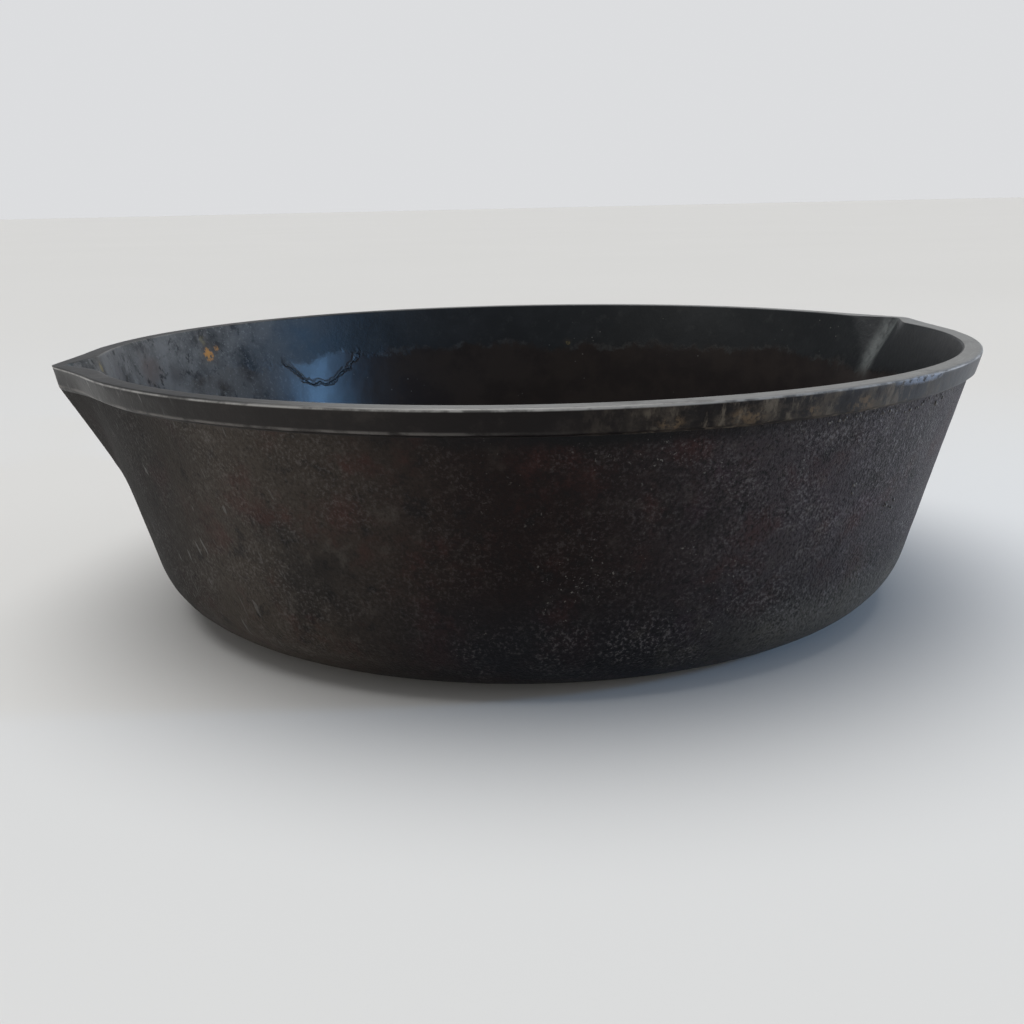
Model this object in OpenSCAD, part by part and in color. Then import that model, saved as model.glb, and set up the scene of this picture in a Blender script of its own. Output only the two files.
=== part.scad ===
// Deep cast iron skillet with two pour spouts and a short handle with a teardrop hanging hole.
// The pan is one casting. Its named features are separate solids that meet face to face.
// Frame: origin at the centre of the flat base, +Z up, handle towards +Y, spouts on -X and +X.

/* [Pan] */
// Outside diameter of the rim
rim_d = 267; // [200:0.5:330]
// Height from the base to the ground rim
pan_h = 75; // [55:0.5:100]
// Lean of the side wall, in degrees from upright
wall_lean = 15.7; // [8:0.1:22]
// Thickness of the side wall, measured level
wall_t = 3.9; // [3:0.1:6]
// Thickness of the cooking floor
floor_t = 4.8; // [3.5:0.1:7]
// Radius of the outside corner between base and wall
heel_r = 23; // [14:0.5:32]
// Radius of the inside corner between floor and wall
cook_corner_r = 19; // [12:0.5:28]

/* [Rim band] */
// Height of the thick band round the rim
band_h = 6; // [3:0.1:12]
// How far the band stands out from the wall
band_step = 1.5; // [0.5:0.1:3]

/* [Pour spouts] */
// How far a spout's tip reaches past the rim
spout_reach = 5.7; // [2:0.1:12]
// Half angle of the rim that a spout takes up, in degrees
spout_half_angle = 9.5; // [6:0.5:14]
// How far the tip's front leans back over the height of the band
tip_lean = 1.2; // [0:0.1:3]
// Drop of the outside ridge, from the rim to where it meets the wall
ridge_drop = 32.4; // [24:0.2:44]
// Thickness of the lip at the tip
lip_t = 3.2; // [2:0.1:5]
// Half width of the pouring channel at the inside of the rim
channel_half_w = 13.9; // [8:0.1:18]
// Drop of the pouring channel, from the rim to its lowest point
channel_drop = 17.8; // [10:0.2:22]

/* [Handle] */
// Length of the handle, from the rim to its end
handle_len = 133; // [100:1:180]
// Drop of the handle's top below the rim, where it leaves the pan
handle_drop = 7.5; // [6.5:0.1:14]
// Fall of the handle towards its end, in degrees
handle_fall = 2.4; // [0:0.1:8]
// Length of the flared root
root_len = 32; // [20:1:45]
// Width of the root at the pan
root_w = 44; // [30:1:60]
// Depth of the root at the pan
root_t = 21; // [12:0.5:30]
// Width of the shank at its narrowest
shank_w = 23; // [18:0.5:34]
// Thickness of the shank and the hanging eye
shank_t = 9.5; // [7:0.1:14]
// Width of the hanging eye
eye_w = 34; // [28:0.5:44]
// Radius of the rounded edges of the handle
edge_r = 3; // [1:0.1:4]
// Depth of the thumb recess under the shank
recess_depth = 3; // [0:0.1:4]
// Radius of the round end of the hanging hole
hang_r = 8; // [5:0.1:10]
// Radius of the pointed end of the hanging hole
hang_tip_r = 3; // [2:0.1:5]
// Distance between the centres of the hole's two ends
hang_span = 17; // [12:0.5:24]

/* [Hidden] */
$fn = 96;
eps = 0.01;

rim_r = rim_d / 2;
lean = tan(wall_lean);
wall_top_r = rim_r - band_step;
bore_top_r = wall_top_r - wall_t;
// Radius of a wall face at height z, from its radius at the rim
function wall_r(top_r, z) = top_r - (pan_h - z) * lean;
// Centre radius of a corner of radius r that rises from height z and runs into the wall
function corner_r(top_r, z, r) = wall_r(top_r, z + r) - r / cos(wall_lean);
base_r = corner_r(wall_top_r, 0, heel_r);
cook_r = corner_r(bore_top_r, floor_t, cook_corner_r);
// Height at which the outside corner runs into the straight wall
heel_h = heel_r * (1 - sin(wall_lean));
band_z = pan_h - band_h;

// Spout outline, seen from above
side_x = rim_r * cos(spout_half_angle);
side_y = rim_r * sin(spout_half_angle);
tip_x = rim_r + spout_reach;
ridge_x = wall_r(wall_top_r, pan_h - ridge_drop);
channel_x = sqrt(bore_top_r * bore_top_r - channel_half_w * channel_half_w);
channel_foot_x = wall_r(bore_top_r, pan_h - channel_drop);
// The channel's cutter is run on by this share, past the rim and into the bowl
cutter_run = 1.15;
// The wedge's back is run on by this share into the pan
wedge_run = 1.3;

// Stations of the handle, measured from the rim along the handle
eye_r = eye_w / 2;
eye_y = handle_len - eye_r;
neck_y = eye_y - hang_span - hang_r - 3;
neck_growth = 3;
neck_w = shank_w + neck_growth;
// The handle's end is flat over this width
end_w = 2 * edge_r + 1;
// The root is run into the pan by this much before the pan is cut from it
root_back = wall_t + root_t * lean + root_w / 8;
edge_steps = 4;
end_steps = 9;

// Thumb recess under the shank: a slot with round ends
recess_r = shank_w / 2 - edge_r - 2.5;
recess_y0 = root_len + 2 * recess_r;
recess_y1 = neck_y - 2 * recess_r;

// ---- Sections of the pan, drawn to the right of its axis ----

// All that lies inside a pan surface: straight wall, corner and flat bottom
module section_inside(top_r, z0, r) {
    r0 = corner_r(top_r, z0, r);
    tangent_z = z0 + r * (1 - sin(wall_lean));
    union() {
        polygon([
            [0, z0 + r], [wall_r(top_r, z0 + r), z0 + r],
            [top_r + 20 * lean, pan_h + 20], [0, pan_h + 20]
        ]);
        square_to(0, r0, z0, z0 + r);
        intersection() {
            translate([r0, z0 + r]) circle(r);
            square_to(r0 - eps, r0 + r, z0, tangent_z);
        }
        polygon([
            [r0 - eps, z0 + r + eps], [r0 - eps, tangent_z],
            [wall_r(top_r, tangent_z), tangent_z], [wall_r(top_r, z0 + r + eps), z0 + r + eps]
        ]);
    }
}

// Rectangle from x0 to x1 and from z0 to z1
module square_to(x0, x1, z0, z1) {
    translate([x0, z0]) square([x1 - x0, z1 - z0]);
}

// Wall of the pan between two heights
module pan_section(z0, z1) {
    intersection() {
        difference() {
            section_inside(wall_top_r, 0, heel_r);
            section_inside(bore_top_r, floor_t, cook_corner_r);
        }
        square_to(base_r, rim_r, z0, z1);
    }
}

// Thick band round the rim
module band_section() {
    polygon([
        [wall_r(bore_top_r, band_z), band_z],
        [wall_r(rim_r, band_z), band_z],
        [rim_r, pan_h],
        [bore_top_r, pan_h]
    ]);
}

// ---- Spout wedge and channel, both drawn on +X ----

// Solid wedge under a spout's lip, with its ridge on the centre line and its back inside the pan
module spout_wedge() {
    tip = [tip_x, 0, pan_h];
    left = tip + wedge_run * ([side_x, side_y, pan_h] - tip);
    right = tip + wedge_run * ([side_x, -side_y, pan_h] - tip);
    polyhedron(
        points = [
            right,
            tip,
            left,
            [tip_x - tip_lean, 0, band_z],
            [ridge_x, 0, pan_h - ridge_drop],
            [left[0] - spout_reach, 0, pan_h]
        ],
        faces = [
            [5, 2, 1, 0],
            [3, 0, 1], [4, 0, 3],
            [1, 2, 3], [3, 2, 4],
            [4, 5, 0], [2, 5, 4]
        ]
    );
}

// Cutter for the pouring channel: a three-sided pyramid standing on its point
module channel_cutter() {
    foot = [channel_foot_x, 0, pan_h - channel_drop];
    tip = [tip_x - lip_t, 0, pan_h];
    left = tip + cutter_run * ([channel_x, channel_half_w, pan_h] - tip);
    right = tip + cutter_run * ([channel_x, -channel_half_w, pan_h] - tip);
    polyhedron(
        points = [
            foot,
            foot + cutter_run * (tip - foot),
            foot + cutter_run * (left - foot),
            foot + cutter_run * (right - foot)
        ],
        faces = [[1, 3, 2], [0, 3, 1], [0, 1, 2], [0, 2, 3]]
    );
}

// Body of the pan that a spout or the handle grows out of
module pan_envelope() {
    rotate_extrude($fn = 360) {
        polygon([
            [0, 0], [wall_r(wall_top_r, 0), 0],
            [wall_r(wall_top_r, band_z), band_z], [wall_r(rim_r, band_z), band_z],
            [rim_r, pan_h], [rim_r + lean, pan_h + 1], [0, pan_h + 1]
        ]);
    }
}

// Both pouring channels
module channels() {
    channel_cutter();
    mirror([1, 0, 0]) channel_cutter();
}

module spout() {
    difference() {
        spout_wedge();
        pan_envelope();
        channel_cutter();
    }
}

// ---- Handle, drawn along +Y from the rim, its top face at height 0 ----

module in_handle_frame() {
    translate([0, rim_r, pan_h - handle_drop]) rotate([-handle_fall, 0, 0]) children();
}

// Width of the handle at distance y from the rim
function handle_w(y) =
    y < root_len ? shank_w + (root_w - shank_w) * pow(1 - max(y, 0) / root_len, 2) :
    y < neck_y ? shank_w + neck_growth * ease((y - root_len) / (neck_y - root_len)) :
    y < eye_y ? neck_w + (eye_w - neck_w) * ease((y - neck_y) / (eye_y - neck_y)) :
    max(2 * sqrt(max(eye_r * eye_r - pow(y - eye_y, 2), 0)), end_w);

// Depth of the handle at distance y from the rim
function handle_t(y) =
    y < root_len ? shank_t + (root_t - shank_t) * pow(1 - max(y, 0) / root_len, 2) : shank_t;

// Smooth rise from 0 to 1
function ease(u) = (1 - cos(180 * u)) / 2;

// Section of the handle at distance y, with rounded edges
function ring(y) = [
    for (corner = [0:3], step = [0:edge_steps])
        let (
            a = 90 * (corner + step / edge_steps),
            sx = corner == 0 || corner == 3 ? 1 : -1,
            sz = corner < 2 ? 1 : -1
        )
        [
            sx * (handle_w(y) / 2 - edge_r) + edge_r * cos(a),
            y,
            sz * (handle_t(y) / 2 - edge_r) + edge_r * sin(a) - handle_t(y) / 2
        ]
];

// Solid through the handle's sections at the given distances
module loft(stations) {
    n = 4 * (edge_steps + 1);
    last = (len(stations) - 1) * n;
    points = [for (y = stations) each ring(y)];
    sides = [
        for (i = [0:len(stations) - 2], j = [0:n - 1])
            let (a = i * n + j, b = i * n + (j + 1) % n)
            each [[a, b, b + n], [a, b + n, a + n]]
    ];
    polyhedron(
        points = points,
        faces = concat(sides, [[for (j = [n - 1:-1:0]) j]], [[for (j = [0:n - 1]) last + j]])
    );
}

// Evenly spaced distances from y0 to y1
function stretch(y0, y1, n) = [for (i = [0:n]) y0 + (y1 - y0) * i / n];

// Teardrop with its round end outwards
module teardrop() {
    a = asin((hang_r - hang_tip_r) / hang_span);
    circle(hang_r);
    translate([0, -hang_span]) circle(hang_tip_r);
    polygon([
        [hang_r * cos(a), -hang_r * sin(a)],
        [-hang_r * cos(a), -hang_r * sin(a)],
        [-hang_tip_r * cos(a), -hang_span - hang_tip_r * sin(a)],
        [hang_tip_r * cos(a), -hang_span - hang_tip_r * sin(a)]
    ]);
}

// ---- Named parts ----

module cooking_floor() {
    color([0.07, 0.07, 0.075]) cylinder(h = floor_t, r = base_r);
}

module heel() {
    color([0.13, 0.13, 0.14]) rotate_extrude() pan_section(0, heel_h);
}

module side_wall() {
    color([0.16, 0.15, 0.15]) difference() {
        rotate_extrude() pan_section(heel_h, band_z);
        channels();
    }
}

module rim_band() {
    color([0.34, 0.34, 0.34]) difference() {
        rotate_extrude() band_section();
        channels();
    }
}

module left_pour_spout() {
    color([0.24, 0.25, 0.26]) mirror([1, 0, 0]) spout();
}

module right_pour_spout() {
    color([0.24, 0.25, 0.26]) spout();
}

module handle_root() {
    color([0.15, 0.15, 0.16]) difference() {
        in_handle_frame() loft(concat([-root_back], stretch(0, root_len, 8)));
        pan_envelope();
    }
}

module handle_shank() {
    color([0.15, 0.15, 0.16]) in_handle_frame() difference() {
        loft(stretch(root_len, neck_y, 8));
        translate([0, 0, -shank_t - 1]) linear_extrude(1 + recess_depth) {
            square_to(-recess_r, recess_r, recess_y0, recess_y1);
            translate([0, recess_y0]) circle(recess_r);
            translate([0, recess_y1]) circle(recess_r);
        }
    }
}

module hanging_eye() {
    color([0.15, 0.15, 0.16]) in_handle_frame() difference() {
        loft(concat(
            stretch(neck_y, eye_y, 8),
            [for (i = [1:end_steps]) eye_y + sqrt(eye_r * eye_r - end_w * end_w / 4) * sin(90 * i / end_steps)]
        ));
        translate([0, eye_y, -shank_t - 1]) linear_extrude(shank_t + 2) teardrop();
    }
}

cooking_floor();
heel();
side_wall();
rim_band();
left_pour_spout();
right_pour_spout();
handle_root();
handle_shank();
hanging_eye();
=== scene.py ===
# %% [markdown]
# # A deep cast iron skillet
# The real pan is one iron casting with a ground rim. It starts as a sand mould, so no face is
# quite flat and no edge is quite sharp. This lesson turns the bowl on one grid of points, lets a
# Geometry Nodes tree press out the two pour spouts and roughen the skin, then cuts the finished
# skin into the pan's named parts. All parts share their border points and their normals, so the
# joins don't show, just as the real casting has none.

# %% Open the frame
import math
from functools import reduce

import bmesh
import bpy
import numpy as np
from mathutils import Matrix, Vector
from mathutils.kdtree import KDTree


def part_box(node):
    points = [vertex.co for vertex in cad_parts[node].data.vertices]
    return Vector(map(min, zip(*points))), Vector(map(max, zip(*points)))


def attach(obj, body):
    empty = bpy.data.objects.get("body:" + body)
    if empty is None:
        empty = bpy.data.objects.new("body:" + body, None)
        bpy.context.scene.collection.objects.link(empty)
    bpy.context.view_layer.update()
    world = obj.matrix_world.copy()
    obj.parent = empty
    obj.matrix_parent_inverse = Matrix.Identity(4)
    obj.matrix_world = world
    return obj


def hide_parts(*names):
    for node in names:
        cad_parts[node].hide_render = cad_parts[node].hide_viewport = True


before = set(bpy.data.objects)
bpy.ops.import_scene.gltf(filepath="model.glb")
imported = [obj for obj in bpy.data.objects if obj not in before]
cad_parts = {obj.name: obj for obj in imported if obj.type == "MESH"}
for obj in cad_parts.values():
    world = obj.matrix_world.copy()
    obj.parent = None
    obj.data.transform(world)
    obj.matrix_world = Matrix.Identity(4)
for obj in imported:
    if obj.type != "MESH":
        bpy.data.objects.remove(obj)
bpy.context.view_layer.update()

# %% [markdown]
# ## Sizes
# Every driving size is read from the CAD nodes' boxes where they show it, and written down once
# where they don't. `mm` keeps the numbers in the unit that a pattern maker would use.

# %% Read the pan's sizes from the frame
mm = 0.001


def node_size(name):
    low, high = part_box(name)
    return high - low


band_low, band_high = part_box("rim_band")
PAN_H = band_high.z
BAND_Z = band_low.z
RIM_R = band_high.y
FLOOR_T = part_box("cooking_floor")[1].z
BASE_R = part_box("cooking_floor")[1].x
TIP_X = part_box("right_pour_spout")[1].x
RIDGE_DROP = node_size("right_pour_spout").z
HANDLE_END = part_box("hanging_eye")[1].y

LEAN = math.radians(15.7)
BAND_STEP = 1.5 * mm
WALL_T = 3.9 * mm
HEEL_R = 23 * mm
COOK_CORNER_R = 19 * mm
LIP_T = 3.2 * mm
SPOUT_HALF_ANGLE = math.radians(9.5)
CHANNEL_HALF_W = 13.9 * mm
CHANNEL_DROP = 17.8 * mm
TIP_LEAN = 1.2 * mm
print(f"rim {2000 * RIM_R:.1f} mm across, {1000 * PAN_H:.1f} mm deep, base {2000 * BASE_R:.1f} mm")

# %% [markdown]
# ## The skin as rows
# Cut the pan through its axis and the skin is a line: out along the base, round the heel, up the
# wall, over the band and the ground rim, and back down inside to the middle of the floor. The
# line is kept as rows. Each outside row has a partner row inside, so a slab of iron between two
# rows can later become a part of its own. A spin tool would give the same round shape, but it
# wouldn't keep these pairs.

# %% Rows of the outside and the inside
WALL_TOP_R = RIM_R - BAND_STEP
BORE_TOP_R = WALL_TOP_R - WALL_T
slope = math.tan(LEAN)


def wall_r(top_r, z):
    """Radius of a leaning wall face at height z."""
    return top_r - (PAN_H - z) * slope


def corner_arc(top_r, z0, r, n):
    """Points of a round corner from a flat at height z0 into the wall, and its centre radius."""
    centre = wall_r(top_r, z0 + r) - r / math.cos(LEAN)
    turn = np.linspace(0, math.pi / 2 - LEAN, n + 1)
    return centre + r * np.sin(turn), z0 + r - r * np.cos(turn), centre


def spread(a, b, n):
    """n steps from a to b, without a."""
    return list(np.linspace(a, b, n + 1)[1:])


FLOOR_ROWS, HEEL_ROWS, WALL_ROWS, BAND_ROWS = 30, 24, 46, 16
COVE_DROP = 0.7 * mm

outer_r, outer_z = spread(0.0, BASE_R, FLOOR_ROWS), [0.0] * FLOOR_ROWS
arc_r, arc_z, _ = corner_arc(WALL_TOP_R, 0.0, HEEL_R, HEEL_ROWS)
outer_r += list(arc_r[1:])
outer_z += list(arc_z[1:])
wall_z = spread(outer_z[-1], BAND_Z - COVE_DROP, WALL_ROWS)
outer_r += [wall_r(WALL_TOP_R, z) for z in wall_z]
outer_z += wall_z

# The band's underside is a small cove, its lower edge is soft, and its top edge is worn round
under = [
    (0.15, -0.45), (0.45, -0.25), (0.85, -0.1), (1.15, 0.0), (1.35, 0.12), (1.47, 0.3), (1.5, 0.6)
]
outer_r += [wall_r(WALL_TOP_R, BAND_Z + z * mm) + r * mm for r, z in under]
outer_z += [BAND_Z + z * mm for r, z in under]
EDGE = 0.75 * mm
face_z = spread(outer_z[-1], PAN_H - EDGE, 5)
outer_r += [wall_r(RIM_R, z) for z in face_z]
outer_z += face_z
for k in range(1, 5):
    a = math.pi / 2 * k / 4
    outer_r.append(wall_r(RIM_R, PAN_H - EDGE) - EDGE * (1 - math.cos(a)) * 0.9)
    outer_z.append(PAN_H - EDGE * (1 - math.sin(a)))
ROWS = len(outer_r)
assert ROWS == FLOOR_ROWS + HEEL_ROWS + WALL_ROWS + BAND_ROWS

BORE_EDGE = 0.5 * mm
bore_arc_r, bore_arc_z, cook_centre = corner_arc(BORE_TOP_R, FLOOR_T, COOK_CORNER_R, HEEL_ROWS)
inner_r = spread(0.0, cook_centre, FLOOR_ROWS) + list(bore_arc_r[1:])
inner_z = [FLOOR_T] * FLOOR_ROWS + list(bore_arc_z[1:])
inner_wall_z = spread(inner_z[-1], BAND_Z - COVE_DROP, WALL_ROWS)
inner_band_z = spread(inner_wall_z[-1], PAN_H - BORE_EDGE, BAND_ROWS - 3)
inner_z += inner_wall_z + inner_band_z
inner_r += [wall_r(BORE_TOP_R, z) for z in inner_wall_z + inner_band_z]
for k in range(1, 4):
    a = math.pi / 2 * k / 3
    inner_r.append(wall_r(BORE_TOP_R, PAN_H - BORE_EDGE) + BORE_EDGE * (1 - math.cos(a)))
    inner_z.append(PAN_H - BORE_EDGE * (1 - math.sin(a)))
assert len(inner_r) == ROWS

LAND_ROWS = 5
land_share = [k / (LAND_ROWS + 1) for k in range(1, LAND_ROWS + 1)]
land_r = [outer_r[-1] + (inner_r[-1] - outer_r[-1]) * s for s in land_share]
print(f"{ROWS} paired rows, land {1000 * (outer_r[-1] - inner_r[-1]):.2f} mm wide")

# %% [markdown]
# ## Columns
# Round the pan the points stand closer together where a spout bends sharply. Half a degree is
# fine on the plain wall, and a sixth of a degree follows the tip of a lip.

# %% Column angles
def quarter():
    """Angles from a spout's centre to the middle of the plain wall."""
    near = np.arange(0, 2.4, 0.16)
    middle = np.arange(2.4, 16, 0.32)
    far = np.linspace(16, 90, 150)
    return np.concatenate([near, middle, far])


half = quarter()
front = np.concatenate([half, 180 - half[::-1][1:]])
angles = np.radians(np.concatenate([front, 180 + front[1:-1]]))
COLUMNS = len(angles)
print(COLUMNS, "columns")

# %% [markdown]
# ## The blank
# The blank is round, with no spouts yet. Each point carries one number, `inside`, that is 0 on
# the outside, 1 on the inside and something between on the ground rim. The node tree reads it.

# %% Build the blank mesh
ring_r = np.array(outer_r + land_r + inner_r[::-1])
ring_z = np.array(outer_z + [PAN_H] * LAND_ROWS + inner_z[::-1])
ring_inside = np.array([0.0] * ROWS + land_share + [1.0] * ROWS)
RINGS = len(ring_r)
grid = np.empty((RINGS, COLUMNS, 3))
grid[..., 0] = ring_r[:, None] * np.cos(angles)
grid[..., 1] = ring_r[:, None] * np.sin(angles)
grid[..., 2] = ring_z[:, None]
points = np.concatenate([grid.reshape(-1, 3), [[0, 0, 0], [0, 0, FLOOR_T]]])
BASE_POLE, FLOOR_POLE = len(points) - 2, len(points) - 1


def at(ring, column):
    """Index of a grid point."""
    return ring * COLUMNS + column % COLUMNS


def strip(ring_a, ring_b, column):
    """Quad between two rings, seen from outside the iron."""
    return (at(ring_a, column), at(ring_a, column + 1), at(ring_b, column + 1), at(ring_b, column))


faces = [strip(i, i + 1, j) for i in range(RINGS - 1) for j in range(COLUMNS)]
faces += [(BASE_POLE, at(0, j + 1), at(0, j)) for j in range(COLUMNS)]
faces += [(FLOOR_POLE, at(RINGS - 1, j), at(RINGS - 1, j + 1)) for j in range(COLUMNS)]
blank = bpy.data.meshes.new("pan_blank")
blank.from_pydata(points.tolist(), [], faces)
inside = blank.attributes.new("inside", "FLOAT", "POINT")
inside.data.foreach_set("value", np.concatenate([np.repeat(ring_inside, COLUMNS), [0, 1]]))
print("blank:", len(points), "points,", len(faces), "faces")

# %% [markdown]
# ## Pressing out the spouts with Geometry Nodes
# A spout is a rule and not a drawing: seen from above, a lip is two straight lines that meet in a
# point, and the point slides back down along a straight ridge. So for every point the tree works
# out how far from the axis the lip's line lies at that angle and height, and pushes the skin out
# to it with a soft maximum, which leaves the small hollow fillets a mould has. The outside and
# the pouring channel follow the same rule with their own sizes. Then a noise moves the skin a
# little along its normal, because sand castings are never true.

# %% Helpers that wire nodes
class Wires:
    """Adds nodes to a tree and links them. A value is a socket or a number."""

    def __init__(self, tree):
        self.tree = tree

    def plug(self, socket, value):
        if isinstance(value, bpy.types.NodeSocket):
            self.tree.links.new(value, socket)
        else:
            socket.default_value = value

    def node(self, kind, inputs=(), **settings):
        """A node with its settings and its inputs, listed in order or named in a dict."""
        made = self.tree.nodes.new(kind)
        for key, value in settings.items():
            setattr(made, key, value)
        for key, value in inputs.items() if isinstance(inputs, dict) else enumerate(inputs):
            self.plug(made.inputs[key], value)
        return made

    def math(self, operation, *values):
        return self.node("ShaderNodeMath", values, operation=operation).outputs[0]

    def add(self, a, b):
        return self.math("ADD", a, b)

    def sub(self, a, b):
        return self.math("SUBTRACT", a, b)

    def mul(self, *values):
        return reduce(lambda a, b: self.math("MULTIPLY", a, b), values)

    def div(self, a, b):
        return self.math("DIVIDE", a, b)

    def root_of_squares(self, a, b):
        return self.math("SQRT", self.add(self.mul(a, a), self.mul(b, b)))

    def split(self, vector):
        """The x, y and z of a vector."""
        return self.node("ShaderNodeSeparateXYZ", [vector]).outputs

    def join(self, x, y, z):
        return self.node("ShaderNodeCombineXYZ", [x, y, z]).outputs[0]


def new_tree(name, inputs):
    """An empty Geometry Nodes tree with named number inputs and their defaults."""
    tree = bpy.data.node_groups.new(name, "GeometryNodeTree")
    tree.interface.new_socket("Geometry", in_out="INPUT", socket_type="NodeSocketGeometry")
    for label, default in inputs.items():
        if isinstance(default, bpy.types.Material):
            kind = "NodeSocketMaterial"
        else:
            kind = "NodeSocketInt" if isinstance(default, int) else "NodeSocketFloat"
        socket = tree.interface.new_socket(label, in_out="INPUT", socket_type=kind)
        socket.default_value = default
    tree.interface.new_socket("Geometry", in_out="OUTPUT", socket_type="NodeSocketGeometry")
    return Wires(tree), tree.nodes.new("NodeGroupInput").outputs


def end_tree(w, geometry, material):
    """The last nodes of every tree: real geometry, and its material."""
    real = w.node("GeometryNodeRealizeInstances", {"Geometry": geometry})
    dressed = w.node("GeometryNodeSetMaterial", {"Geometry": real.outputs[0], "Material": material})
    w.node("NodeGroupOutput", {"Geometry": dressed.outputs[0]})
    return w.tree


def added(name, data):
    """A new object in the scene."""
    thing = bpy.data.objects.new(name, data)
    bpy.context.scene.collection.objects.link(thing)
    return thing


def baked(mesh, tree, values, name):
    """The mesh that a tree makes from a mesh, with inputs set by socket identifier."""
    maker = added(name + "_maker", mesh)
    modifier = maker.modifiers.new(name, "NODES")
    modifier.node_group = tree
    for item in tree.interface.items_tree:
        if item.in_out == "INPUT" and item.name in values:
            modifier[item.identifier] = values[item.name]
    graph = bpy.context.evaluated_depsgraph_get()
    made = bpy.data.meshes.new_from_object(maker.evaluated_get(graph))
    maker.modifiers.clear()
    bpy.data.objects.remove(maker)
    made.name = name
    return made


# %% The spout tree
rim_half_w = RIM_R * math.sin(SPOUT_HALF_ANGLE)
channel_start = math.sqrt(BORE_TOP_R**2 - CHANNEL_HALF_W**2)
spout_sizes = {
    "Tip reach": TIP_X,
    "Tip lean": TIP_LEAN,
    "Lip thickness": LIP_T,
    "Ridge drop": RIDGE_DROP,
    "Channel drop": CHANNEL_DROP,
    "Rim height": PAN_H,
    "Band height": PAN_H - BAND_Z,
    "Ridge foot": wall_r(WALL_TOP_R, PAN_H - RIDGE_DROP),
    "Channel foot": wall_r(BORE_TOP_R, PAN_H - CHANNEL_DROP),
    "Outer slant": (TIP_X - RIM_R * math.cos(SPOUT_HALF_ANGLE)) / rim_half_w,
    "Ridge slant": 0.1,
    "Channel slant": (TIP_X - LIP_T - channel_start) / CHANNEL_HALF_W,
    "Outer softness": 1.6 * mm,
    "Channel softness": 1.2 * mm,
    "Tip rounding": 0.011,
    "Skin relief": 0.22 * mm,
    "Skin seed": 3.0,
    "Iron": bpy.data.materials.new("bare_iron"),
}
RELIEF_WAVES = ((28.0, 1.0), (110.0, 0.5), (340.0, 0.35))


def spout_tree():
    w, size = new_tree("press_spouts_and_skin", spout_sizes)
    x, y, z = w.split(w.node("GeometryNodeInputPosition").outputs[0])
    radius = w.math("MAXIMUM", w.root_of_squares(x, y), 1e-4)
    along = w.div(w.math("ABSOLUTE", x), radius)
    rounding = size["Tip rounding"]
    across = w.sub(w.root_of_squares(w.div(y, radius), rounding), rounding)
    steepness = w.div(across, w.math("MAXIMUM", along, 1e-3))
    depth = w.sub(size["Rim height"], z)

    def pushed(tip, slant, softness):
        """Radius after a lip line is pressed out of the round wall."""
        # Past the point where the line lies nearest the axis it has done its work, and sinks away
        used = w.math("MINIMUM", steepness, slant)
        spread_out = w.math("SQRT", w.add(1.0, w.mul(used, used)))
        line = w.div(w.mul(tip, spread_out), w.add(1.0, w.mul(slant, used)))
        line = w.sub(line, w.mul(w.sub(steepness, used), 0.12))
        gap = w.root_of_squares(w.sub(radius, line), softness)
        return w.mul(w.add(w.add(radius, line), gap), 0.5)

    in_band = w.math("MINIMUM", w.div(depth, size["Band height"]), 1.0)
    kink = w.sub(size["Tip reach"], size["Tip lean"])
    below = w.math("MAXIMUM", w.sub(depth, size["Band height"]), 0.0)
    run = w.div(w.sub(kink, size["Ridge foot"]), w.sub(size["Ridge drop"], size["Band height"]))
    ridge = w.sub(w.sub(size["Tip reach"], w.mul(in_band, size["Tip lean"])), w.mul(below, run))
    slant = w.add(size["Outer slant"], w.mul(in_band, size["Ridge slant"]))
    outside = pushed(ridge, slant, size["Outer softness"])

    mouth = w.sub(size["Tip reach"], size["Lip thickness"])
    fall = w.div(w.sub(mouth, size["Channel foot"]), size["Channel drop"])
    channel = w.sub(mouth, w.mul(depth, fall))
    bore = pushed(channel, size["Channel slant"], size["Channel softness"])

    inside_value = w.node("GeometryNodeInputNamedAttribute", {"Name": "inside"}, data_type="FLOAT")
    share = inside_value.outputs["Attribute"]
    new_radius = w.add(w.mul(outside, w.sub(1.0, share)), w.mul(bore, share))
    # Only the skin near the lips moves: the soft maximum is faded out low on the wall
    fade = w.math("MAXIMUM", w.sub(1.0, w.div(depth, w.mul(size["Ridge drop"], 1.35))), 0.0)
    fade = w.math("MINIMUM", w.mul(fade, 3.0), 1.0)
    growth = w.div(w.add(radius, w.mul(w.sub(new_radius, radius), fade)), radius)
    moved = w.join(w.mul(x, growth), w.mul(y, growth), z)
    press = w.node("GeometryNodeSetPosition", {"Geometry": size["Geometry"], "Position": moved})

    # Cast relief: broad waves of the mould and the shallow dimples of its sand
    relief = 0.0
    for scale, weight in RELIEF_WAVES:
        inputs = {"W": size["Skin seed"], "Scale": scale, "Detail": 2.0}
        noise = w.node("ShaderNodeTexNoise", inputs, noise_dimensions="4D")
        relief = w.add(relief, w.mul(w.sub(noise.outputs[0], 0.5), weight))
    # The ground rim, the cooking side and the base are truer than the cast outside
    below_rim = w.math("MAXIMUM", w.div(w.sub(depth, 0.2 * mm), 1.5 * mm), 0.0)
    on_skin = w.mul(w.math("MINIMUM", below_rim, 1.0), w.math("MINIMUM", w.div(z, 6 * mm), 1.0))
    softer = w.sub(1.0, w.mul(share, 0.45))
    amount = w.mul(relief, size["Skin relief"], on_skin, softer, 2.0)
    normal = w.node("GeometryNodeInputNormal").outputs[0]
    offset = w.node("ShaderNodeVectorMath", {0: normal, "Scale": amount}, operation="SCALE").outputs[0]
    rough = w.node("GeometryNodeSetPosition", {"Geometry": press.outputs[0], "Offset": offset})
    return end_tree(w, rough.outputs[0], size["Iron"])


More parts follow.
